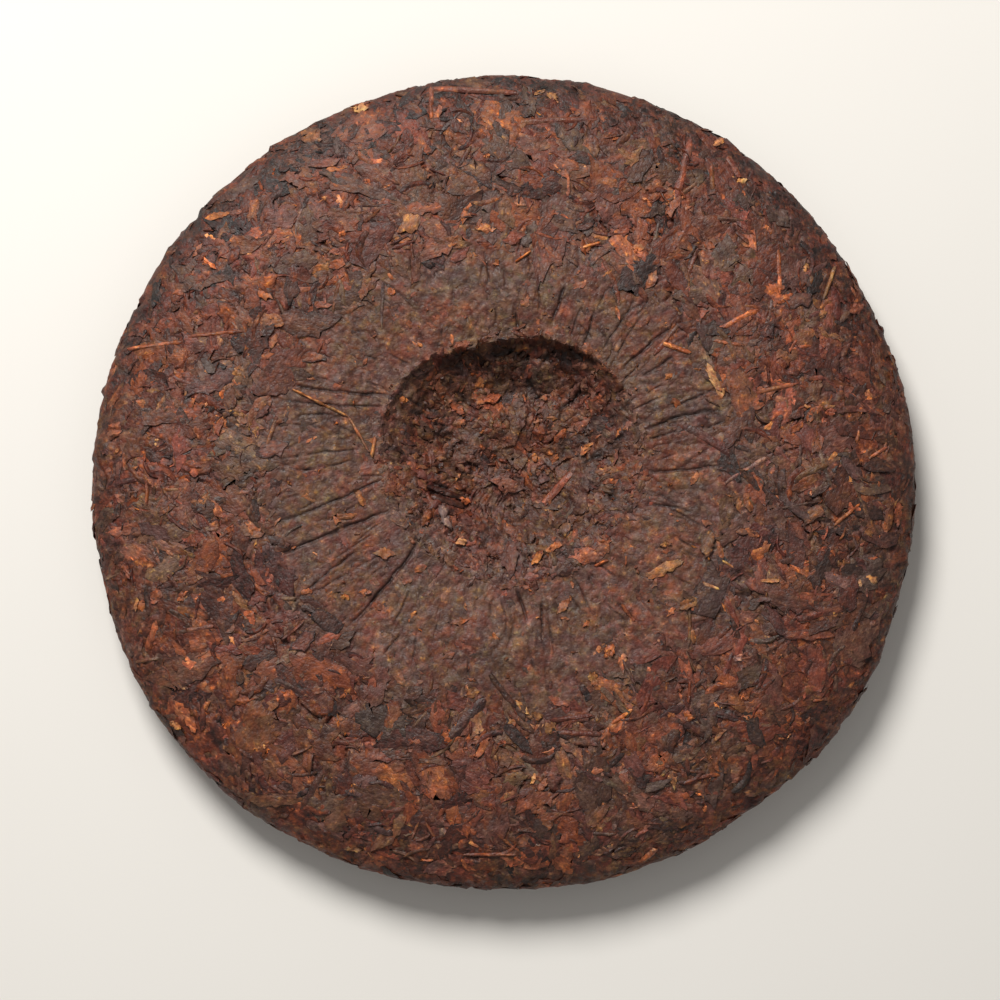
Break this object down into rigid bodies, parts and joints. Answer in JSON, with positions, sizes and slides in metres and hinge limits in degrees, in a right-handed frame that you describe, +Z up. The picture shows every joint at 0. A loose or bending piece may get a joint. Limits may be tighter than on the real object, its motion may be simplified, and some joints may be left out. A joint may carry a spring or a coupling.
{
  "type": "pu erh tea cake",
  "caption": "Round cake of pressed dark tea leaves with a knot hollow and fold creases in its back and a domed front.",
  "frame": {"origin": "on the table under the middle of the cake", "axes": "+Z up, out of the back face with the knot hollow; +Y towards the side with the hollow's steepest wall"},
  "size_m": [0.2006, 0.1987, 0.0219],
  "materials": {
    "pressed_tea": "matt pressed dark brown tea leaves"
  },
  "bodies": {
    "root": {"tea_cake": "pressed_tea"}
  },
  "joints": []
}
